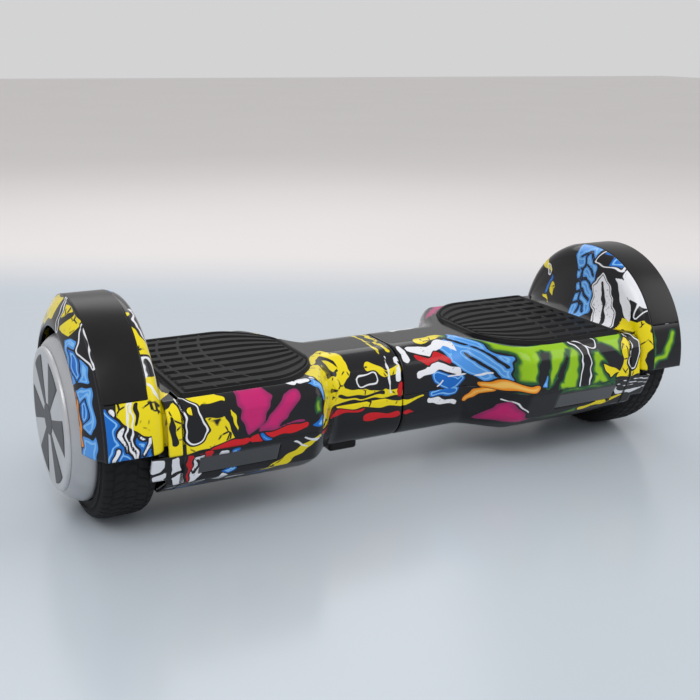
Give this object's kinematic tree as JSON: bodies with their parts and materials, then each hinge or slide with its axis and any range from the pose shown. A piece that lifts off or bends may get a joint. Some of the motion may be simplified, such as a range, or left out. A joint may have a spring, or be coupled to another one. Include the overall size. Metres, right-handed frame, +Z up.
{
  "type": "self balancing hoverboard",
  "caption": "Two-wheel self balancing board: two twisting halves with hub motor wheels, wheel arches, ribbed foot pads and a printed glossy shell.",
  "frame": {"origin": "on the floor under the middle of the board", "axes": "+X along the board to the rider's right, the rider faces -Y, +Z up"},
  "size_m": [0.584, 0.19, 0.178],
  "materials": {
    "printed_shell": "glossy black with a printed film of yellow, green, blue, magenta and white shapes",
    "pad_rubber": "matte, ribbed",
    "band_plastic": "satin black",
    "smoked_lens": "smoked, glossy",
    "circuit_board": "green solder resist",
    "cast_aluminium": "as cast",
    "steel": "turned",
    "black_steel": "black oxide",
    "lamination_steel": "stacked sheets",
    "copper": "enamelled copper wire",
    "magnet": "nickel plated",
    "tyre_rubber": "matte with a fine tread",
    "silver_paint": "satin silver",
    "silver_plastic": "satin silver",
    "dark_plastic": "satin dark grey",
    "press_plastic": "moulded",
    "bush_plastic": "bearing plastic",
    "loom_sleeve": "braided sleeve",
    "battery_wrap": "shrink sleeve",
    "cell_can": "sleeved cell",
    "socket_plastic": "moulded",
    "button_plastic": "glossy"
  },
  "bodies": {
    "left_half": {"left_upper_shell": "printed_shell", "left_lower_shell": "printed_shell", "left_footpad": "pad_rubber", "left_fender_band": "band_plastic", "left_led_lens": "smoked_lens", "left_led_strip": "circuit_board", "left_chassis": "cast_aluminium", "left_axle_clamp": "cast_aluminium", "left_clamp_screws": "steel", "left_axle": "steel", "left_stator_core": "lamination_steel", "left_stator_windings": "copper", "left_sensor_board": "circuit_board", "left_shell_screws": "black_steel", "pivot_shaft": "steel", "pivot_nut": "steel", "stop_pin": "steel", "centre_loom": "loom_sleeve", "battery_case": "battery_wrap", "battery_cells": "cell_can", "charge_socket": "socket_plastic", "power_switch": "socket_plastic"},
    "right_half": {"right_upper_shell": "printed_shell", "right_lower_shell": "printed_shell", "right_footpad": "pad_rubber", "right_fender_band": "band_plastic", "right_led_lens": "smoked_lens", "right_led_strip": "circuit_board", "right_chassis": "cast_aluminium", "right_axle_clamp": "cast_aluminium", "right_clamp_screws": "steel", "right_axle": "steel", "right_stator_core": "lamination_steel", "right_stator_windings": "copper", "right_sensor_board": "circuit_board", "right_shell_screws": "black_steel", "pivot_bushes": "bush_plastic", "main_board": "circuit_board", "heat_sink": "cast_aluminium"},
    "charge_cap": {"charge_cap": "pad_rubber"},
    "power_button": {"power_button": "button_plastic"},
    "left_wheel": {"left_tyre": "tyre_rubber", "left_wheel_rim": "cast_aluminium", "left_rotor_magnets": "magnet", "left_motor_cover": "silver_paint", "left_hub_cap": "silver_plastic", "left_hub_spokes": "dark_plastic", "left_wheel_bearings": "steel"},
    "left_toe_plate": {"left_toe_press_plate": "press_plastic"},
    "left_heel_plate": {"left_heel_press_plate": "press_plastic"},
    "right_wheel": {"right_tyre": "tyre_rubber", "right_wheel_rim": "cast_aluminium", "right_rotor_magnets": "magnet", "right_motor_cover": "silver_paint", "right_hub_cap": "silver_plastic", "right_hub_spokes": "dark_plastic", "right_wheel_bearings": "steel"},
    "right_toe_plate": {"right_toe_press_plate": "press_plastic"},
    "right_heel_plate": {"right_heel_press_plate": "press_plastic"}
  },
  "joints": [
    {"name": "centre_twist", "type": "hinge", "parent": "left_half", "child": "right_half", "pos_m": [0, 0, 0.071], "axis": [1, 0, 0], "range_deg": [-10, 10]},
    {"name": "left_wheel_spin", "type": "hinge", "parent": "left_half", "child": "left_wheel", "pos_m": [-0.2495, 0, 0.083], "axis": [1, 0, 0], "continuous": true},
    {"name": "right_wheel_spin", "type": "hinge", "parent": "right_half", "child": "right_wheel", "pos_m": [0.2495, 0, 0.083], "axis": [1, 0, 0], "continuous": true},
    {"name": "left_toe_press", "type": "slide", "parent": "left_half", "child": "left_toe_plate", "axis": [0, 0, 1], "range_m": [-0.002, 0], "stiffness_N_per_m": 2500},
    {"name": "left_heel_press", "type": "slide", "parent": "left_half", "child": "left_heel_plate", "axis": [0, 0, 1], "range_m": [-0.002, 0], "stiffness_N_per_m": 2500},
    {"name": "right_toe_press", "type": "slide", "parent": "right_half", "child": "right_toe_plate", "axis": [0, 0, 1], "range_m": [-0.002, 0], "stiffness_N_per_m": 2500},
    {"name": "right_heel_press", "type": "slide", "parent": "right_half", "child": "right_heel_plate", "axis": [0, 0, 1], "range_m": [-0.002, 0], "stiffness_N_per_m": 2500},
    {"name": "power_press", "type": "slide", "parent": "left_half", "child": "power_button", "axis": [0, -1, 0], "range_m": [0, 0.0015], "stiffness_N_per_m": 400},
    {"name": "charge_cap_hinge", "type": "hinge", "parent": "left_half", "child": "charge_cap", "pos_m": [-0.0225, 0.0494, 0.058], "axis": [0, 0, -1], "range_deg": [0, 120]}
  ]
}
